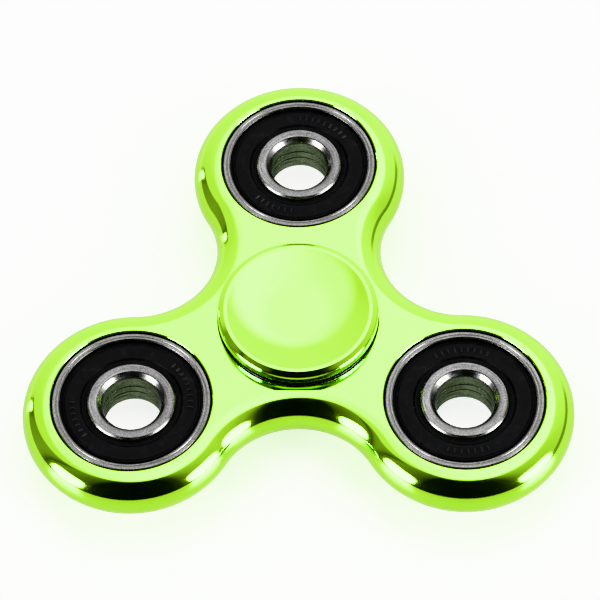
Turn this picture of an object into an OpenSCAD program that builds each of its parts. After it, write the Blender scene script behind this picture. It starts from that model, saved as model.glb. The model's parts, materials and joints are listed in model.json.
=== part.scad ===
// Three-lobed fidget spinner. A rotor body holds four ball bearings: the centre one turns on a pair of
// finger caps, and the three in the lobes are weights whose inner rings turn freely.
// The origin is on the spin axis at mid-thickness, +Z points out of the upper cap, +Y at the back lobe.

/* [Rotor body] */
// Distance from the spin axis to the centre of each lobe
lobe_pitch = 26; // [25:0.5:30]
// Outer radius of a lobe
lobe_r = 15; // [15:0.1:16.5]
// Thickness of the body, whose edge is rounded all the way over
body_t = 7.4; // [7.2:0.05:7.5]
// Width of the bevel at the mouth of each bearing seat
mouth_bevel = 0.22; // [0.1:0.02:0.22]

/* [Bearings] */
// Outside diameter of a bearing
bearing_od = 22; // [21.6:0.1:22]
// Bore of a bearing, which is also the finger caps' stem size
bearing_bore = 8; // [7.8:0.1:8.2]
// Width of a bearing
bearing_w = 7; // [6.8:0.1:7]
// Diameter of a ball
ball_d = 3.969; // [3.9:0.001:4]
// Number of balls in a bearing
ball_count = 7; // [6:1:8]

/* [Finger caps] */
// Radius of a finger cap
cap_r = 11; // [10.6:0.1:12]
// Height of a cap's crown above the face of the bearing
cap_rise = 2.75; // [2.6:0.05:3.2]
// Gap between the face of the bearing and the underside of a cap's rim
cap_gap = 0.87; // [0.7:0.01:1]
// Depth of the finger dish in a cap
dish_depth = 0.85; // [0.5:0.05:0.9]
// Radius of the dish's flat floor
dish_floor_r = 7; // [6:0.1:7.6]
// Radius of the round at a cap's upper edge
cap_round = 0.8; // [0.5:0.05:1]

/* [Hidden] */
$fn = 96;
PLACES = ["centre", "back", "left", "right"];
PIECES = ["outer_ring", "inner_ring", "balls", "cage_upper", "cage_lower", "cage_rivets",
          "seal_upper", "seal_lower"];

// Directions of the lobes and of the waists between them
lobe_angles = [90, 210, 330];
waist_angles = [30, 150, 270];
bearing_centres = concat([[0, 0, 0]], [for (a = lobe_angles) polar(lobe_pitch, a)]);

// Rotor body: lobe and waist radii add up to a hair over the pitch, so that neighbouring arcs run together.
// The rims, the web between them and the seat walls overlap by the small amounts below.
seat_r = bearing_od / 2;
mouth_depth = 0.25;
blend_overlap = 0.02;
rim_overlap = 0.5;
wall_overlap = 0.41;
web_inset = 0.1;
web_overlap = 0.2;
waist_r = lobe_pitch - lobe_r + blend_overlap;
edge_r = body_t / 2 + 0.01;
seat_wall_r = lobe_r - edge_r + wall_overlap;

// Bearing: ring faces, raceways and cage share one pitch circle
half_w = bearing_w / 2;
bore_r = bearing_bore / 2;
ring_pitch_r = (seat_r + bore_r) / 2;
ball_r = ball_d / 2;
raceway_r = 0.52 * ball_d;
raceway_gap = 0.03;
outer_race_r = ring_pitch_r + ball_r + raceway_gap;
inner_race_r = ring_pitch_r - ball_r - raceway_gap;
outer_bevel = 0.3;
outer_shoulder_r = seat_r - 2.2;
bore_bevel = 0.5;
inner_bevel = 0.2;
inner_shoulder_r = bore_r + 2;

// Seal and its groove in the outer ring
seal_mouth_r = seat_r - 1.27;
groove_r = seat_r - 1.05;
groove_low = half_w - 1.15;
groove_high = half_w - 0.55;
seal_play = 0.05;
seal_face_z = half_w - 0.35;
seal_t = 0.65;
seal_step = 0.25;
seal_lip_gap = 0.1;
seal_step_r = inner_shoulder_r + 0.6;
seal_rim_r = seal_mouth_r - 0.33;

// Cage: two pressed halves that wrap the balls and are riveted between them
cage_t = 0.3;
cage_inner_r = ring_pitch_r - 0.75;
cage_outer_r = ring_pitch_r + 0.75;
pocket_r = ball_r + 0.055;
rivet_r = 0.28;
rivet_hole_gap = 0.02;
rivet_head_r = 0.5;
rivet_head_h = 0.2;

// Finger caps: the upper cap's stem fills the bore and takes the lower cap's pin
cap_under_z = half_w + cap_gap;
cap_top_z = half_w + cap_rise;
cap_t = cap_top_z - cap_under_z;
cap_under_round = 0.2;
crown_w = 0.3;
crown_inner_r = cap_r - cap_round - crown_w;
boss_r = inner_shoulder_r - 0.4;
stem_r = bore_r - 0.04;
stem_end_gap = 0.3;
pin_r = 2;
pin_gap = 0.02;
pin_end_z = 2.2;
socket_end_z = 2.6;
cut = 0.5;

function polar(r, a) = [r * cos(a), r * sin(a), 0];

module on_lobes() {
    for (a = lobe_angles) translate(polar(lobe_pitch, a)) rotate([0, 0, a]) children();
}

module on_waists() {
    for (a = waist_angles) translate(polar(lobe_pitch, a)) rotate([0, 0, a]) children();
}

// Half section of a rim: its rounded edge, cut off flat at the body's two faces and between two radii
module rim_section(low, high) {
    intersection() {
        circle(edge_r);
        translate([low, -body_t / 2]) square([high - low, body_t]);
    }
}

// Half section of the wall around a bearing seat, with a bevel at each mouth
module seat_section() {
    face_z = body_t / 2;
    polygon([
        [seat_r, mouth_depth - face_z],
        [seat_r + mouth_bevel, -face_z],
        [seat_wall_r, -face_z],
        [seat_wall_r, face_z],
        [seat_r + mouth_bevel, face_z],
        [seat_r, face_z - mouth_depth],
    ]);
}

// Wall of the centre seat
module centre_wall() {
    rotate_extrude() seat_section();
}

// Ring of a lobe, from its bearing seat to its rounded edge
module lobe_rim() {
    rotate_extrude() {
        seat_section();
        translate([lobe_r - edge_r, 0]) rim_section(0, edge_r);
    }
}

// Rounded edge along the hollow between two lobes
module waist_rim() {
    rotate_extrude(angle = 120, start = 120)
        translate([waist_r + edge_r, 0]) rim_section(-edge_r, rim_overlap);
}

// Flat middle of the body, which runs a little way into the rims and seat walls around it
module web() {
    linear_extrude(body_t, center = true) difference() {
        rotate([0, 0, 30]) circle(lobe_pitch, $fn = 6);
        on_waists() circle(waist_r + edge_r + web_inset);
        for (centre = bearing_centres) translate(centre) circle(seat_wall_r - web_overlap);
    }
}

module rotor_body() {
    color("yellowgreen") {
        web();
        centre_wall();
        on_lobes() lobe_rim();
        on_waists() waist_rim();
    }
}

module outer_ring() {
    color("silver") rotate_extrude() difference() {
        polygon(concat(
            [[seat_r - outer_bevel, half_w], [seat_r, half_w - outer_bevel]],
            [[seat_r, outer_bevel - half_w], [seat_r - outer_bevel, -half_w]],
            [[seal_mouth_r, -half_w], [seal_mouth_r, -groove_high], [groove_r, -groove_high]],
            [[groove_r, -groove_low], [outer_shoulder_r, -groove_low]],
            [[outer_shoulder_r, groove_low], [groove_r, groove_low]],
            [[groove_r, groove_high], [seal_mouth_r, groove_high], [seal_mouth_r, half_w]]
        ));
        translate([outer_race_r - raceway_r, 0]) circle(raceway_r);
    }
}

module inner_ring() {
    color("silver") rotate_extrude() difference() {
        polygon([
            [bore_r, bore_bevel - half_w], [bore_r, half_w - bore_bevel],
            [bore_r + bore_bevel, half_w], [inner_shoulder_r - inner_bevel, half_w],
            [inner_shoulder_r, half_w - inner_bevel], [inner_shoulder_r, inner_bevel - half_w],
            [inner_shoulder_r - inner_bevel, -half_w], [bore_r + bore_bevel, -half_w]
        ]);
        translate([inner_race_r + raceway_r, 0]) circle(raceway_r);
    }
}

// Places around a bearing, counted from the back: at the balls, or half a step on, between them
module around_balls(half_steps = 0) {
    for (i = [0 : ball_count - 1])
        translate(polar(ring_pitch_r, 90 + (i + half_steps / 2) * 360 / ball_count)) children();
}

module balls() {
    color("gainsboro") around_balls() sphere(ball_r);
}

// Half of the cage, above the plane where the two halves meet
module cage_half() {
    color("lightgrey") difference() {
        intersection() {
            rotate_extrude() translate([cage_inner_r, 0])
                square([cage_outer_r - cage_inner_r, 2 * ball_r]);
            union() {
                cylinder(h = cage_t, r = seat_r);
                around_balls() sphere(pocket_r + cage_t);
            }
        }
        around_balls() sphere(pocket_r);
        around_balls(1) cylinder(h = 4 * cage_t, r = rivet_r + rivet_hole_gap, center = true);
    }
}

module cage_upper() {
    cage_half();
}

module cage_lower() {
    mirror([0, 0, 1]) cage_half();
}

module cage_rivets() {
    color("darkgrey") around_balls(1) rotate_extrude() {
        translate([0, -cage_t - rivet_head_h / 2]) square([rivet_r, 2 * cage_t + rivet_head_h]);
        for (side = [-1, 1]) translate([0, side * (cage_t + rivet_head_h / 2) - rivet_head_h / 2])
            square([rivet_head_r, rivet_head_h]);
    }
}

// Rubber seal: a lip that reaches for the inner ring, a raised face, and a bead held in the groove
module seal() {
    bead_r = groove_r - seal_play;
    bead_top = groove_high - seal_play;
    bead_low = groove_low + seal_play;
    lip_r = inner_shoulder_r + seal_lip_gap;
    lip_top = seal_face_z - seal_step;
    under_z = seal_face_z - seal_t;
    color([0.13, 0.13, 0.13]) rotate_extrude() polygon([
        [lip_r, under_z], [lip_r, lip_top], [seal_step_r, lip_top],
        [seal_step_r + 0.12, seal_face_z], [seal_rim_r - 0.1, seal_face_z],
        [seal_rim_r, seal_face_z - 0.1], [seal_rim_r, bead_top], [bead_r, bead_top],
        [bead_r, bead_low], [seal_rim_r, bead_low], [seal_rim_r, under_z]
    ]);
}

module seal_upper() {
    seal();
}

module seal_lower() {
    mirror([0, 0, 1]) seal();
}

// Half section of a cap's disc, with a dished top and a rounded rim
module cap_section() {
    difference() {
        union() {
            translate([0, cap_under_z]) square([cap_r - cap_round, cap_t]);
            translate([0, cap_under_z + cap_under_round])
                square([cap_r, cap_t - cap_round - cap_under_round]);
            translate([cap_r - cap_round, cap_top_z - cap_round]) circle(cap_round);
            translate([cap_r - cap_round, cap_under_z])
                polygon([[0, 0], [cap_round - cap_under_round, 0], [cap_round, cap_under_round],
                         [0, cap_under_round]]);
        }
        polygon([
            [0, cap_top_z + cut], [0, cap_top_z - dish_depth], [dish_floor_r, cap_top_z - dish_depth],
            [crown_inner_r, cap_top_z], [crown_inner_r, cap_top_z + cut]
        ]);
    }
}

module cap_disc() {
    rotate_extrude() {
        cap_section();
        translate([0, half_w]) square([boss_r, cap_gap]);
    }
}

module cap_upper() {
    color("greenyellow") {
        difference() {
            union() {
                cap_disc();
                translate([0, 0, stem_end_gap - half_w])
                    cylinder(h = bearing_w - stem_end_gap, r = stem_r);
            }
            translate([0, 0, -half_w])
                cylinder(h = half_w + socket_end_z, r = pin_r);
        }
    }
}

module cap_lower() {
    color("greenyellow") {
        mirror([0, 0, 1]) cap_disc();
        translate([0, 0, -half_w - cap_gap])
            cylinder(h = half_w + cap_gap + pin_end_z, r = pin_r - pin_gap);
    }
}

rotor_body();
cap_upper();
cap_lower();

for (i = [0 : len(PLACES) - 1]) translate(bearing_centres[i]) {
    outer_ring();
    inner_ring();
    balls();
    cage_upper();
    cage_lower();
    cage_rivets();
    seal_upper();
    seal_lower();
}
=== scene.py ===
"""Looks of the fidget spinner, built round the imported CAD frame. Shapes are given in millimetres."""

import json
import math

import bpy
from mathutils import Matrix, Vector
from mathutils.geometry import delaunay_2d_cdt


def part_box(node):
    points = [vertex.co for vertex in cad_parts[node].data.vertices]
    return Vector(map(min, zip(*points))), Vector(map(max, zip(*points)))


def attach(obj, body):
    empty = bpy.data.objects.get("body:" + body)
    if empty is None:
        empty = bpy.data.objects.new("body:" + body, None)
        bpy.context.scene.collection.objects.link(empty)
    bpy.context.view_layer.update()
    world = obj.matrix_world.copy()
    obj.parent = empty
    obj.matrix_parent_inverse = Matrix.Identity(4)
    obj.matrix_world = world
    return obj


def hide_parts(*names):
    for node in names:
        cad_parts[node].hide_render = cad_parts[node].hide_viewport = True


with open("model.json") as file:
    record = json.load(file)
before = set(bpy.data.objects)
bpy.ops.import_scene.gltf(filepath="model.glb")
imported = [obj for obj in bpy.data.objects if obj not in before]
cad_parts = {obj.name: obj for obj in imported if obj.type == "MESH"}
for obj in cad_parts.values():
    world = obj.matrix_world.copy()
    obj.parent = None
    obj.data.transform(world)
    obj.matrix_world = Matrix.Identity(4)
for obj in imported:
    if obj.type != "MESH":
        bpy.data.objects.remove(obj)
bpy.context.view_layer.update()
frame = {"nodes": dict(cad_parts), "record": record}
MM = 0.001


def in_mm(metres):
    """A length of the frame, to 0.05 mm, because the facets of its round faces fall a little short."""
    return round(metres / MM * 20) / 20


def extent(node, axis):
    """How far a CAD node reaches from the origin along +X, +Y or +Z, in mm."""
    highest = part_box(node)[1]
    return in_mm(highest["XYZ".index(axis)])


back_bore = next(mount for mount in frame["record"]["mounts"] if mount["name"] == "back_bore")

# Sizes that the frame gives, in millimetres
PITCH = in_mm(back_bore["pos_m"][1])       # spin axis to the centre of a lobe
LOBE_R = extent("rotor_body", "Y") - PITCH  # outer radius of a lobe
BODY_T = 2 * extent("rotor_body", "Z")     # thickness of the body
SEAT_R = extent("back_outer_ring", "X")    # outer radius of a bearing, and of its seat
HALF_W = extent("back_outer_ring", "Z")    # half the width of a bearing
BORE_R = back_bore["dims"]["r_mm"]         # radius of a bearing's bore
CAP_R = extent("cap_upper", "X")           # radius of a finger cap
CAP_TOP = extent("cap_upper", "Z")         # height of the top of its rim

# Sizes that follow from those, and sizes that no box shows
EDGE_R = BODY_T / 2                        # the body's edge is a full round
WAIST_R = PITCH - LOBE_R                   # radius of the hollows between the lobes
MOUTH_BEVEL, MOUTH_DEPTH = 0.12, 0.12      # bevel round the mouth of a seat
RACE_R = 2.064                             # radius of the raceways' section
RACE_IN, RACE_OUT = 7.534, 7.466           # centre of that section, inner and outer ring
CAP_UNDER = 4.37                           # height of the underside of a cap's rim
LOBES = {"back": 90, "left": 210, "right": 330}  # direction of each lobe from +X, in degrees

# Materials of a ring, in the order of its slots
# The last slot is near-black steel, put in the gap round an outer ring and in a bore's fine lines as painted
# shade
FLAT, BEVEL, WALL, PAINTED_SHADE = range(4)


def polar(r, degrees):
    """The point at radius r in a direction counted from +X."""
    a = math.radians(degrees)
    return Vector((r * math.cos(a), r * math.sin(a)))


# ---------------------------------------------------------------- camera

def make_camera():
    """A long lens above and in front of the spinner, solved from the outlines of the three bearings."""
    elevation, azimuth, roll = (math.radians(a) for a in (57.28, 1.68, -1.75))
    target, distance = Vector((0.23, 3.0, 3.5)) * MM, 441.2
    back = Vector((math.sin(azimuth) * math.cos(elevation), -math.cos(azimuth) * math.cos(elevation),
                   math.sin(elevation)))
    right = Vector((math.cos(azimuth), math.sin(azimuth), 0))
    up = back.cross(right)
    axes = (math.cos(roll) * right + math.sin(roll) * up, math.cos(roll) * up - math.sin(roll) * right, back)
    data = bpy.data.cameras.new("camera")
    data.sensor_width = 36
    data.lens = 192.4
    data.clip_start, data.clip_end = 0.01, 10
    camera = bpy.data.objects.new("camera", data)
    turned = Matrix(axes).transposed().to_4x4()
    camera.matrix_world = Matrix.Translation(target + back * distance * MM) @ turned
    bpy.context.scene.collection.objects.link(camera)
    bpy.context.scene.camera = camera


# ---------------------------------------------------------------- meshes

def link_mesh(name, verts, faces, normals, centre=(0, 0), materials=(), face_materials=None):
    """A smooth mesh with its own vertex normals; verts and centre are in mm."""
    mesh = bpy.data.meshes.new(name)
    mesh.from_pydata([(x * MM, y * MM, z * MM) for x, y, z in verts], [], faces)
    for material in materials:
        mesh.materials.append(material)
    if face_materials:
        mesh.polygons.foreach_set("material_index", face_materials)
    mesh.shade_smooth()
    mesh.normals_split_custom_set_from_vertices(normals)
    piece = bpy.data.objects.new(name, mesh)
    piece.location = (centre[0] * MM, centre[1] * MM, 0)
    bpy.context.scene.collection.objects.link(piece)
    return piece


def rounded(corners, closed=True, step=15):
    """Outline (r, z, nr, nz) from corners (r, z, fillet), material on the left, every corner filleted."""
    out = []
    last = len(corners) - 1
    for i, (r, z, fillet) in enumerate(corners):
        here = Vector((r, z))
        before = Vector(corners[i - 1][:2])
        after = Vector(corners[(i + 1) % len(corners)][:2])
        if not closed and i in (0, last):
            run = (after - here if i == 0 else here - before).normalized()
            out.append((r, z, run.y, -run.x))
            continue
        a, b = (here - before).normalized(), (after - here).normalized()
        turn = math.atan2(a.x * b.y - a.y * b.x, a.dot(b))
        side = 1 if turn > 0 else -1
        start = here - a * fillet * math.tan(abs(turn) / 2)
        centre = start - side * fillet * Vector((a.y, -a.x))
        count = max(2, math.ceil(abs(math.degrees(turn)) / step))
        for k in range(count + 1):
            t = turn * k / count
            d = Vector((a.x * math.cos(t) - a.y * math.sin(t), a.x * math.sin(t) + a.y * math.cos(t)))
            n = Vector((d.y, -d.x))
            p = centre + side * fillet * n
            out.append((p.x, p.y, n.x, n.y))
    return out


def revolve(name, outline, centre=(0, 0), segments=192, closed=True, materials=(), pick=None, extra=None):
    """A solid turned from an outline about a vertical axis through centre.

    pick(r, z, nr, nz) gives the material of a band, and extra holds more (verts, faces, normals, material).
    """
    verts, faces, normals, tags, rings = [], [], [], [], []
    for r, z, nr, nz in outline:
        if r < 1e-6:
            rings.append([len(verts)] * segments)
            verts.append((0, 0, z))
            normals.append((0, 0, nz))
            continue
        rings.append(list(range(len(verts), len(verts) + segments)))
        for j in range(segments):
            c, s = math.cos(2 * math.pi * j / segments), math.sin(2 * math.pi * j / segments)
            verts.append((r * c, r * s, z))
            normals.append((nr * c, nr * s, nz))
    count = len(outline)
    for i in range(count if closed else count - 1):
        k = (i + 1) % count
        low, high = outline[i], outline[k]
        tag = pick(*((p + q) / 2 for p, q in zip(low, high))) if pick else 0
        for j in range(segments):
            n = (j + 1) % segments
            face = (rings[i][j], rings[i][n], rings[k][n], rings[k][j])
            face = tuple(v for m, v in enumerate(face) if v != face[m - 1])
            faces.append(face)
            tags.append(tag)
    if extra:
        for more_verts, more_faces, more_normals, tag in extra:
            base = len(verts)
            verts += more_verts
            normals += more_normals
            faces += [tuple(base + v for v in f) for f in more_faces]
            tags += [tag] * len(more_faces)
    return link_mesh(name, verts, faces, normals, centre, materials, tags)


# ---------------------------------------------------------------- node graphs

class Graph:
    """Short ways to add nodes to a tree."""

    def __init__(self, tree):
        self.nodes, self.links = tree.nodes, tree.links

    def add(self, kind, inputs=None, **settings):
        node = self.nodes.new(kind)
        for key, value in settings.items():
            setattr(node, key, value)
        for key, value in (inputs or {}).items():
            if isinstance(value, bpy.types.NodeSocket):
                self.links.new(value, node.inputs[key])
            else:
                node.inputs[key].default_value = value
        return node

    def math(self, operation, a, b=0.0, c=0.0):
        return self.add("ShaderNodeMath", {0: a, 1: b, 2: c}, operation=operation).outputs[0]

    def smooth(self, value, low, high, to_low=0.0, to_high=1.0):
        return self.add("ShaderNodeMapRange", {0: value, 1: low, 2: high, 3: to_low, 4: to_high},
                        interpolation_type="SMOOTHSTEP").outputs[0]

    def noise(self, vector, scale, detail=2.0, roughness=0.5):
        return self.add("ShaderNodeTexNoise", {"Vector": vector, "Scale": scale, "Detail": detail,
                                               "Roughness": roughness}).outputs["Fac"]

    def mix(self, factor, a, b):
        node = self.add("ShaderNodeMix", data_type="RGBA")
        for socket, value in ((node.inputs[0], factor), (node.inputs[6], a), (node.inputs[7], b)):
            if isinstance(value, bpy.types.NodeSocket):
                self.links.new(value, socket)
            else:
                socket.default_value = value
        return node.outputs[2]

    def bump(self, height, distance, normal=None, strength=1.0):
        inputs = {"Height": height, "Distance": distance, "Strength": strength}
        if normal is not None:
            inputs["Normal"] = normal
        return self.add("ShaderNodeBump", inputs).outputs[0]


def material(name, **values):
    """A material's graph and its Principled shader, with the shader's own values set."""
    made = bpy.data.materials.new(name)
    made.use_nodes = True
    graph = Graph(made.node_tree)
    shader = made.node_tree.nodes["Principled BSDF"]
    for key, value in values.items():
        shader.inputs[key].default_value = value
    return made, graph, shader


def object_vector(graph):
    return graph.add("ShaderNodeTexCoord").outputs["Object"]


def ring_vector(graph, along, around):
    """Coordinates that run outwards, round and along a turned part, for lines of constant radius."""
    place = graph.add("ShaderNodeSeparateXYZ", {0: object_vector(graph)})
    x, y, z = place.outputs
    radius = graph.math("SQRT", graph.math("ADD", graph.math("MULTIPLY", x, x), graph.math("MULTIPLY", y, y)))
    angle = graph.math("ARCTAN2", y, x)
    return graph.add("ShaderNodeCombineXYZ", {0: graph.math("MULTIPLY", radius, along),
                                              1: graph.math("MULTIPLY", angle, around),
                                              2: graph.math("MULTIPLY", z, along)}).outputs[0]


def plating(name, deep, light, waviness):
    """Coloured mirror plating: slow ripples of the casting, orange peel, and faint wiping marks."""
    made, g, shader = material(name, **{"Metallic": 1.0, "Coat Weight": 1.0, "Coat Roughness": 0.02,
                                        "Coat IOR": 1.45, "Specular Tint": (0.8, 0.84, 0.52, 1)})
    place = object_vector(g)
    slow = g.noise(place, 150, 1.0)
    peel = g.noise(place, 1600, 2.0)
    stretched = g.add("ShaderNodeMapping", {"Vector": place, "Rotation": (0, 0, 0.6),
                                            "Scale": (160, 5200, 900)})
    wiping = g.smooth(g.noise(stretched.outputs[0], 1.0, 3.0, 0.6), 0.52, 0.75)
    smudge = g.smooth(g.noise(place, 90, 3.0, 0.6), 0.4, 0.7)
    g.links.new(g.mix(slow, deep, light), shader.inputs["Base Color"])
    rough = g.math("MULTIPLY_ADD", wiping, 0.035, g.math("MULTIPLY_ADD", smudge, 0.03, 0.05))
    g.links.new(rough, shader.inputs["Roughness"])
    ripple = g.bump(slow, waviness * MM)
    ripple = g.bump(peel, 0.0006 * MM, ripple)
    g.links.new(g.bump(wiping, 0.0002 * MM, ripple), shader.inputs["Normal"])
    return made


def turned_steel(name, dark, light, rough, depth, lines=9000, edge=(1, 1, 1, 1)):
    """Ground or turned steel with fine concentric lines and small stains; edge tints it at grazing angles."""
    made, g, shader = material(name, **{"Metallic": 1.0, "Specular Tint": edge})
    fine = g.noise(ring_vector(g, lines, 1.2), 1.0, 3.0, 0.7)
    coarse = g.noise(ring_vector(g, lines / 7, 0.8), 1.0, 2.0, 0.6)
    grain = g.noise(object_vector(g), 5200, 2.0, 0.7)
    stain = g.noise(object_vector(g), 420, 3.0, 0.6)
    lines_both = g.math("ADD", g.math("MULTIPLY", fine, 0.6), g.math("MULTIPLY", coarse, 0.4))
    tone = g.math("ADD", g.math("MULTIPLY", lines_both, 0.6), g.math("MULTIPLY", grain, 0.4))
    g.links.new(g.mix(g.smooth(tone, 0.38, 0.62), dark, light), shader.inputs["Base Color"])
    g.links.new(g.math("MULTIPLY_ADD", g.smooth(stain, 0.45, 0.7), 0.12, rough), shader.inputs["Roughness"])
    g.links.new(g.bump(lines_both, depth * MM, g.bump(grain, depth * 0.5 * MM)), shader.inputs["Normal"])
    return made


def seal_rubber(name, shine):
    """Matt black moulded rubber with a fine grain and a trace of dust."""
    made, g, shader = material(name, **{"Specular IOR Level": shine})
    place = object_vector(g)
    grain = g.noise(place, 7000, 3.0, 0.6)
    dust = g.smooth(g.noise(place, 700, 4.0, 0.65), 0.5, 0.8)
    flow = g.noise(ring_vector(g, 1500, 1.5), 1.0, 2.0)
    tone = g.mix(dust, (0.0042, 0.0042, 0.0044, 1), (0.010, 0.010, 0.0104, 1))
    g.links.new(tone, shader.inputs["Base Color"])
    g.links.new(g.math("MULTIPLY_ADD", flow, 0.2, 0.36), shader.inputs["Roughness"])
    g.links.new(g.bump(grain, 0.004 * MM, g.bump(flow, 0.006 * MM)), shader.inputs["Normal"])
    return made


def hidden_steel(name, dark, light, rough, scale):
    """Finish of the parts inside a bearing."""
    made, g, shader = material(name, **{"Metallic": 1.0})
    grain = g.noise(object_vector(g), scale, 3.0, 0.6)
    g.links.new(g.mix(grain, dark, light), shader.inputs["Base Color"])
    g.links.new(g.math("MULTIPLY_ADD", grain, 0.1, rough), shader.inputs["Roughness"])
    g.links.new(g.bump(grain, 0.001 * MM), shader.inputs["Normal"])
    return made


# ---------------------------------------------------------------- studio

def make_world():
    """Soft studio: an overhead light, pale walls, two light boxes in front, a slim one towards the back on
    the left, and a dark room behind the camera."""
    world = bpy.data.worlds.new("studio")
    world.use_nodes = True
    world.node_tree.nodes.clear()
    g = Graph(world.node_tree)
    direction = g.add("ShaderNodeTexCoord").outputs["Generated"]
    x, y, z = g.add("ShaderNodeSeparateXYZ", {0: direction}).outputs
    turn = g.math("MULTIPLY", g.math("ARCTAN2", x, g.math("MULTIPLY", y, -1)), 180 / math.pi)
    lift = g.math("MULTIPLY", g.math("ARCSINE", z), 180 / math.pi)

    # Walls: brightness by the angle from straight in front of the spinner, positive to the right
    ramp = g.add("ShaderNodeValToRGB", {0: g.math("MULTIPLY_ADD", turn, 1 / 360, 0.5)})
    stops = ((-180, 1.6), (-150, 1.3), (-125.5, 0.95), (-124, 0.3), (-116, 0.1), (-112, 0.28),
             (-92, 0.36), (-86, 0.3), (-80, 0.06), (-74, 0.3), (-46, 0.10), (-38, 0.007),
             (0, 0.004), (34, 0.007), (42, 0.03), (50, 0.25), (58, 0.5), (76, 0.72),
             (88, 0.78), (104, 0.9), (125, 1.3), (150, 1.7), (180, 1.6))
    brightest = 4  # a ramp holds colours up to 1, so the levels are divided by this and multiplied again
    band = ramp.color_ramp
    band.elements[0].position, band.elements[1].position = 0, 1
    for i, (angle, bright) in enumerate(stops):
        place = angle / 360 + 0.5
        if i == 0:
            stop = band.elements[0]
        elif i == len(stops) - 1:
            stop = band.elements[-1]
        else:
            stop = band.elements.new(place)
        stop.color = (bright / brightest,) * 3 + (1,)
    walls = g.math("MULTIPLY", ramp.outputs[0], brightest)

    def facing(*toward):
        """How closely a direction points the way that toward does, up to 1."""
        aim = Vector(toward).normalized()
        dot = g.add("ShaderNodeVectorMath", {0: direction, 1: aim}, operation="DOT_PRODUCT")
        return dot.outputs["Value"]

    # A pale ceiling that reaches down at the back, and a darker skirting low on the right
    walls = g.math("MAXIMUM", walls, g.smooth(facing(-0.22, 0.604, 0.766), 0.70, 0.76))
    low = g.math("MULTIPLY", g.smooth(lift, 15, 9),
                 g.math("MULTIPLY", g.smooth(turn, 70, 82), g.smooth(turn, 140, 120)))
    walls = g.math("MULTIPLY", walls, g.math("MULTIPLY_ADD", low, -0.66, 1))

    # Overhead light, a soft-edged disc behind the zenith, cut off at the front and brighter on the right
    over = g.math("MULTIPLY", g.smooth(facing(0.054, 0.304, 0.951), 0.85, 0.935),
                  g.smooth(facing(0.0, 0.57, 0.82), 0.6, 0.68))
    level = g.math("ADD", g.math("MULTIPLY", walls, g.math("SUBTRACT", 1, over)),
                   g.math("MULTIPLY", over, g.smooth(x, -0.25, 0.25, 3.0, 5.6)))

    # Light boxes with rounded corners: middle, height, half width and half height in degrees, and brightness
    boxes = ((-59, 19, 16, 17, 24.0), (65, 17, 17, 17, 24.0), (-119.5, 3, 2.9, 13, 9.0))
    for middle, centre, wide, tall, power in boxes:
        across = g.math("MULTIPLY", g.math("SUBTRACT", turn, middle), 1 / wide)
        upright = g.math("MULTIPLY", g.math("SUBTRACT", lift, centre), 1 / tall)
        reach = g.math("ADD", g.math("POWER", g.math("ABSOLUTE", across), 3.0),
                       g.math("POWER", g.math("ABSOLUTE", upright), 3.0))
        level = g.math("ADD", level, g.math("MULTIPLY", g.smooth(reach, 1.2, 0.35), power))

    # The backdrop itself is plain white
    backdrop = 6
    seen = g.add("ShaderNodeLightPath").outputs["Is Camera Ray"]
    unseen = g.math("SUBTRACT", 1, seen)
    level = g.math("ADD", g.math("MULTIPLY", level, unseen), g.math("MULTIPLY", seen, backdrop))
    shade = g.add("ShaderNodeCombineColor", {0: level, 1: level, 2: level})
    background = g.add("ShaderNodeBackground", {"Color": shade.outputs[0]})
    output = g.add("ShaderNodeOutputWorld")
    g.links.new(background.outputs[0], output.inputs[0])
    bpy.context.scene.world = world
    bpy.context.scene.view_settings.view_transform = "Khronos PBR Neutral"


def make_floor(height):
    """A wide pale sheet under the spinner, paler in the picture than in the spinner's reflections."""
    made, g, shader = material("floor", **{"Roughness": 0.22, "Emission Color": (1, 1, 1, 1)})
    seen = g.add("ShaderNodeLightPath").outputs["Is Camera Ray"]
    g.links.new(g.mix(seen, (0.10, 0.10, 0.10, 1), (1.4, 1.4, 1.4, 1)), shader.inputs["Base Color"])
    g.links.new(g.math("MULTIPLY_ADD", seen, 0.12, 0.68), shader.inputs["Emission Strength"])
    count, radius = 96, 1500
    verts = [(*polar(radius, 360 * i / count), height) for i in range(count)]
    floor = link_mesh("floor", verts, [tuple(range(count))], [(0, 0, 1)] * count, materials=[made])


# ---------------------------------------------------------------- rotor body

def outline_arcs(step=2.5):
    """Points of the outline, each with its arc's centre, the edge's middle line, its side and direction."""
    points = []
    for lobe in LOBES.values():
        for i in range(round(240 / step)):
            points.append((polar(PITCH, lobe), LOBE_R - EDGE_R, 1, polar(1, lobe - 120 + i * step)))
        hollow = polar(PITCH, lobe + 60)
        for i in range(round(120 / step)):
            points.append((hollow, WAIST_R + EDGE_R, -1, polar(1, lobe - 60 - i * step)))
    return points


def seat_profile(face_r):
    """Wall of a bearing seat with bevelled mouths, from the upper face at face_r down to the lower."""
    half = BODY_T / 2
    return rounded([
        (face_r, half, 0), (SEAT_R + MOUTH_BEVEL, half, 0.12), (SEAT_R, half - MOUTH_DEPTH, 0.06),
        (SEAT_R, MOUTH_DEPTH - half, 0.06), (SEAT_R + MOUTH_BEVEL, -half, 0.12), (face_r, -half, 0)],
        closed=False)


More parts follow.
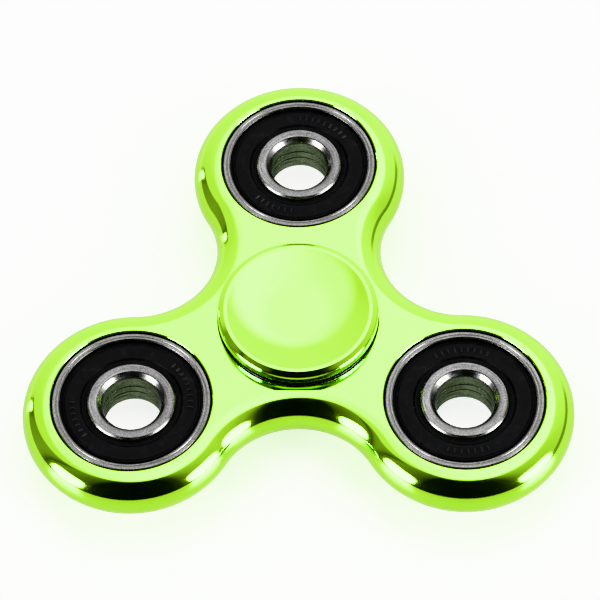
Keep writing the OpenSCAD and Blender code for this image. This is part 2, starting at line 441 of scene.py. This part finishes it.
def build_rotor_body(finish, joint):
    """One closed body: full-round edge, flat faces and four bevelled seats with walls darkened as painted
    shade.
    """
    verts, faces, normals = [], [], []
    arcs = outline_arcs()
    rows = 40
    for centre, middle, side, d in arcs:
        for k in range(rows + 1):
            t = math.pi * (0.5 - k / rows)
            reach = middle + side * EDGE_R * math.cos(t)
            verts.append((centre.x + reach * d.x, centre.y + reach * d.y, EDGE_R * math.sin(t)))
            normals.append((side * d.x * math.cos(t), side * d.y * math.cos(t), math.sin(t)))
    wide = rows + 1
    for i in range(len(arcs)):
        j = (i + 1) % len(arcs)
        for k in range(rows):
            faces.append((i * wide + k, i * wide + k + 1, j * wide + k + 1, j * wide + k))
    loops = [([i * wide for i in range(len(arcs))], [i * wide + rows for i in range(len(arcs))])]

    segments, walls = 192, []
    face_r = SEAT_R + MOUTH_BEVEL + 0.08
    wall = seat_profile(face_r)
    centres = [Vector((0, 0))] + [polar(PITCH, a) for a in LOBES.values()]
    for centre in centres:
        base = len(verts)
        for r, z, nr, nz in wall:
            for j in range(segments):
                d = polar(1, 360 * j / segments)
                verts.append((centre.x + r * d.x, centre.y + r * d.y, z))
                normals.append((nr * d.x, nr * d.y, nz))
        for i in range(len(wall) - 1):
            # Seat walls get the second material, near-black: painted shade in the joint round each bearing
            if abs(wall[i][0] - SEAT_R) < 1e-6 and abs(wall[i + 1][0] - SEAT_R) < 1e-6:
                walls.append((len(faces), len(faces) + segments))
            for j in range(segments):
                n = (j + 1) % segments
                a, b = base + i * segments, base + (i + 1) * segments
                faces.append((a + j, a + n, b + n, b + j))
        end = base + (len(wall) - 1) * segments
        loops.append(([base + j for j in range(segments)], [end + j for j in range(segments)]))

    # Flat faces, between the outline and the seats
    for side in (0, 1):
        ids = [v for loop in loops for v in loop[side]]
        flat = [Vector(verts[v][:2]) for v in ids]
        edges, start = [], 0
        for loop in loops:
            count = len(loop[side])
            edges += [(start + i, start + (i + 1) % count) for i in range(count)]
            start += count
        found = delaunay_2d_cdt(flat, edges, [], 1, 1e-7)
        for tri in found[2]:
            corners = [found[0][v] for v in tri]
            middle = sum(corners, Vector((0, 0))) / 3
            if any((middle - c).length < face_r - 1e-4 for c in centres):
                continue
            if not inside_outline(middle):
                continue
            a, b, c = (ids[found[3][v][0]] for v in tri)
            faces.append((a, b, c) if side == 0 else (a, c, b))
    tags = [0] * len(faces)
    for start, stop in walls:
        tags[start:stop] = [1] * (stop - start)
    return link_mesh("rotor_shell", verts, faces, normals, materials=[finish, joint], face_materials=tags)


def inside_outline(point):
    """True inside the flat of the body's faces."""
    if any((point - polar(PITCH, a + 60)).length < WAIST_R + EDGE_R - 1e-4 for a in LOBES.values()):
        return False
    if any((point - polar(PITCH, a)).length < LOBE_R - EDGE_R + 1e-4 for a in LOBES.values()):
        return True
    return point.length < PITCH


# ---------------------------------------------------------------- caps

def dish():
    """Bowl in the top of a cap, from its edge inwards: steepest at the edge, flat in the middle."""
    flat_r, edge_r, edge_slope, edge_drop = 3.6, 9.5, 0.34, 0.085
    bowl, steps = [], 24
    for i in range(steps + 1):
        share = 1 - i / steps
        slope = edge_slope * share
        drop = edge_drop + edge_slope * (edge_r - flat_r) / 2 * (1 - share * share)
        normal = Vector((-slope, 1)).normalized()
        bowl.append((flat_r + (edge_r - flat_r) * share, CAP_TOP - drop, normal.x, normal.y))
    return bowl + [(0, bowl[-1][1], 0, 1)]


def build_caps(finish):
    """Both caps: an upper one with a stem and a socket, and a lower one with the pin for it."""
    rim = [(5.6, HALF_W, 0.08), (5.6, CAP_UNDER, 0.12), (CAP_R - 0.25, CAP_UNDER, 0.2),
           (CAP_R, CAP_UNDER + 0.3, 0.3), (CAP_R, CAP_TOP - 0.5, 0.55)]
    crest = [(CAP_R - 0.82, CAP_TOP, 0.3), (9.75, CAP_TOP, 0.4), (9.5, CAP_TOP - 0.085, 0)]
    upper = [(0, 2.6, 0), (2.0, 2.6, 0.1), (2.0, -3.2, 0.1), (3.96, -3.2, 0.15), (3.96, HALF_W, 0.05)]
    lower = [(0, -2.2, 0), (1.98, -2.2, 0.15), (1.98, HALF_W, 0.05)]
    made = []
    for name, core, flip in (("cap_upper_shell", upper, 1), ("cap_lower_shell", lower, -1)):
        outline = rounded(core + rim + crest, closed=False, step=7.5)[:-1] + dish()
        piece = revolve(name, outline, segments=256, closed=False, materials=[finish])
        if flip < 0:
            piece.data.transform(Matrix.Rotation(math.pi, 4, "X"))
        made.append(piece)
    return made


# ---------------------------------------------------------------- bearings

def ring_finish(r, z, nr, nz):
    """Which finish a band of a ring has, from its place and slope."""
    # Bands in the gap to the seat and in the bore's fine lines get the near-black finish: painted shade
    in_gap = r > SEAT_R - 0.24
    in_bore_line = BORE_R + 0.01 < r < BORE_R + 0.1 and abs(z) < 1
    if in_gap or in_bore_line:
        return PAINTED_SHADE
    if abs(nz) <= 0.3:
        return WALL
    return BEVEL if abs(nz) < 0.97 else FLAT


def flipped(corners):
    """The same corners on the underside, in the order that keeps the material on the left."""
    return [(r, -z, f) for r, z, f in reversed(corners)]


def raceway(centre, side):
    """Corners of the balls' groove, edge to edge; side is 1 for the outer ring, -1 for the inner."""
    corners, half_angle, steps = [], 52, 8
    for i in range(steps + 1):
        a = math.radians(half_angle * (2 * i / steps - 1))
        corners.append((centre + side * RACE_R * math.cos(a), -side * RACE_R * math.sin(a), 0.02))
    return corners


def outer_ring_outline():
    """Section of an outer ring: gap to the seat, face with a fine groove, seal groove and raceway."""
    groove = [(9.73, 3.36, 0.06), (9.73, 2.95, 0.04), (9.95, 2.95, 0.03), (9.95, 2.35, 0.03),
              (8.8, 2.35, 0.05)]
    outside = [(SEAT_R, 2.7, 0.05), (SEAT_R - 0.22, 2.75, 0.05), (SEAT_R - 0.22, 3.38, 0.05),
               (SEAT_R - 0.36, HALF_W, 0.08), (10.3, HALF_W, 0.03), (10.24, 3.44, 0.03), (10.16, 3.44, 0.03),
               (10.1, HALF_W, 0.03), (9.92, HALF_W, 0.06)]
    return rounded(flipped(outside) + outside + groove + raceway(RACE_OUT, 1) + flipped(groove))


def inner_ring_outline():
    """Section of an inner ring: bore with two fine lines on each half, faces and raceway."""
    bore = [(4.7, HALF_W, 0.5), (BORE_R, 2.75, 0.6), (BORE_R, 0.8, 0.02), (4.05, 0.76, 0.02),
            (4.05, 0.62, 0.02), (BORE_R, 0.58, 0.02)]
    side = [(6.0, 3.25, 0.12), (5.75, HALF_W, 0.15)]
    return rounded(flipped(bore) + flipped(side) + raceway(RACE_IN, -1) + side + bore)


def seal_outline():
    """Half section of the upper seal: thin lip, groove, raised face with a bead at each edge."""
    return rounded([
        (6.1, 2.5, 0.03), (9.4, 2.5, 0.03), (9.4, 2.4, 0.02), (9.9, 2.4, 0.05), (9.9, 2.9, 0.05),
        (9.42, 2.9, 0.05), (9.4, 3.1, 0.1), (9.18, 3.15, 0.05), (9.08, 3.07, 0.05), (8.98, 3.15, 0.05),
        (7.0, 3.15, 0.1), (6.75, 2.9, 0.08), (6.42, 2.9, 0.05), (6.3, 2.98, 0.05), (6.1, 2.96, 0.04)],
        step=20)


def raised_bar(r, angle, wide, tall, top, low):
    """A small rounded bar standing on a seal's face; wide runs round the seal and tall outwards, in mm."""
    verts, normals, faces = [], [], []
    corner, per_corner = 0.1, 4
    # Rings from the foot to the top: inset, height, and the sideways and upward parts of the normal
    rings = ((0.0, low, 0.85, 0.66), (0.03, top - 0.05, 0.75, 0.6614), (0.07, top, 0.0, 1.0))
    for inset, z, out, rise in rings:
        for qx, qy, start in ((1, 1, 0), (-1, 1, 90), (-1, -1, 180), (1, -1, 270)):
            for k in range(per_corner):
                d = polar(1, start + 90 * k / (per_corner - 1))
                x = qx * (tall / 2 - corner) + (corner - inset) * d.x
                y = qy * (wide / 2 - corner) + (corner - inset) * d.y
                verts.append((x, y, z))
                normals.append(Vector((d.x * out, d.y * out, rise)).normalized())
    count = 4 * per_corner
    for i in range(len(rings) - 1):
        for j in range(count):
            n = (j + 1) % count
            faces.append((i * count + j, i * count + n, (i + 1) * count + n, (i + 1) * count + j))
    faces.append(tuple(range(len(verts) - count, len(verts))))
    d = polar(1, angle)
    c, s = d.x, d.y
    return ([((r + x) * c - y * s, (r + x) * s + y * c, z) for x, y, z in verts], faces,
            [(n.x * c - n.y * s, n.x * s + n.y * c, n.z) for n in normals], 1)


def seal_marks(turn):
    """Two rows of plain moulded bars, all alike, opposite each other."""
    middle_r, spacing = 8.0, 6.5
    bars = []
    for middle, count in ((turn, 9), (turn + 180, 7)):
        for i in range(count):
            angle = middle + (i - (count - 1) / 2) * spacing
            bars.append(raised_bar(middle_r, angle, wide=0.3, tall=0.8, top=3.34, low=3.12))
    return bars


def build_bearing(place, centre, turn, finishes):
    """Rings and seals of one lobe bearing."""
    pieces = {}
    # Of these, the gap finish is painted shade and the bore finish carries a painted green reflection
    steels = [finishes[part] for part in ("face", "bevel", "bore", "gap")]  # FLAT, BEVEL, WALL, PAINTED_SHADE
    inner_steels = [finishes["land"]] + steels[1:]
    pieces["outer_ring"] = revolve(f"{place}_outer_ring_turned", outer_ring_outline(), centre, 192,
                                   materials=steels, pick=ring_finish)
    pieces["inner_ring"] = revolve(f"{place}_inner_ring_turned", inner_ring_outline(), centre, 160,
                                   materials=inner_steels, pick=ring_finish)
    for side, flip in (("upper", False), ("lower", True)):
        seal = revolve(f"{place}_seal_{side}_moulded", seal_outline(), centre, 192,
                       materials=[finishes["rubber"], finishes["marks"]], extra=seal_marks(turn))
        if flip:
            seal.data.transform(Matrix.Rotation(math.pi, 4, "X"))
        pieces[f"seal_{side}"] = seal
    return pieces


# ---------------------------------------------------------------- put together

make_camera()
make_world()
make_floor(-CAP_TOP)

deep_green, light_green = (0.455, 0.93, 0.03, 1), (0.495, 0.97, 0.055, 1)
body_finish = plating("body_plating", deep_green, light_green, 0.028)
cap_finish = plating("cap_plating", deep_green, light_green, 0.01)
# Dark and light tone, roughness and depth of the relief in mm
finishes = {
    "face": turned_steel("ring_face", (0.055, 0.054, 0.053, 1), (0.17, 0.167, 0.166, 1), 0.26, 0.0012),
    "land": turned_steel("ring_land", (0.05, 0.049, 0.049, 1), (0.165, 0.162, 0.164, 1), 0.24, 0.0012),
    "bevel": turned_steel("ring_bevel", (0.08, 0.08, 0.078, 1), (0.19, 0.19, 0.186, 1), 0.25, 0.0003),
    # Steel of the rings' walls and bores, tinted green as a painted reflection of the lime body
    "bore": turned_steel("ring_wall_green_reflection", (0.085, 0.102, 0.068, 1), (0.27, 0.32, 0.22, 1), 0.16, 0.0006, 5000,
                         (0.42, 0.43, 0.42, 1)),
    # Near-black steel for the gap round the outer rings, the fine lines in the bores and the body's seat
    # walls: painted shade
    "gap": turned_steel("joint_painted_shade", (0.008, 0.008, 0.008, 1), (0.03, 0.03, 0.03, 1), 0.3, 0.0006),
    "rubber": seal_rubber("seal_rubber", 0.09),
    "marks": seal_rubber("rubbed_marks", 0.18),
}

shell = build_rotor_body(body_finish, finishes["gap"])
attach(shell, "rotor")
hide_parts("rotor_body")

for cap, node in zip(build_caps(cap_finish), ("cap_upper", "cap_lower")):
    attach(cap, "hub")
    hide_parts(node)

TURNS = {"back": 63, "left": 20, "right": 92}
for place, degrees in LOBES.items():
    for part, piece in build_bearing(place, polar(PITCH, degrees), TURNS[place], finishes).items():
        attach(piece, f"{place}_inner" if part == "inner_ring" else "rotor")
        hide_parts(f"{place}_{part}")

# Parts inside the bearings, and the centre bearing, keep their CAD shape
inside = {
    "balls": hidden_steel("ball_chrome", (0.50, 0.50, 0.51, 1), (0.60, 0.60, 0.61, 1), 0.04, 900),
    "cage_upper": hidden_steel("cage_steel", (0.38, 0.37, 0.35, 1), (0.50, 0.49, 0.47, 1), 0.28, 2200),
    "cage_rivets": hidden_steel("rivet_steel", (0.34, 0.34, 0.34, 1), (0.48, 0.48, 0.48, 1), 0.25, 3000),
}
inside["cage_lower"] = inside["cage_upper"]
inside["outer_ring"] = inside["inner_ring"] = finishes["face"]
inside["seal_upper"] = inside["seal_lower"] = finishes["rubber"]
for node, piece in frame["nodes"].items():
    part = node.split("_", 1)[1]
    if part in inside:
        piece.data.materials.clear()
        piece.data.materials.append(inside[part])
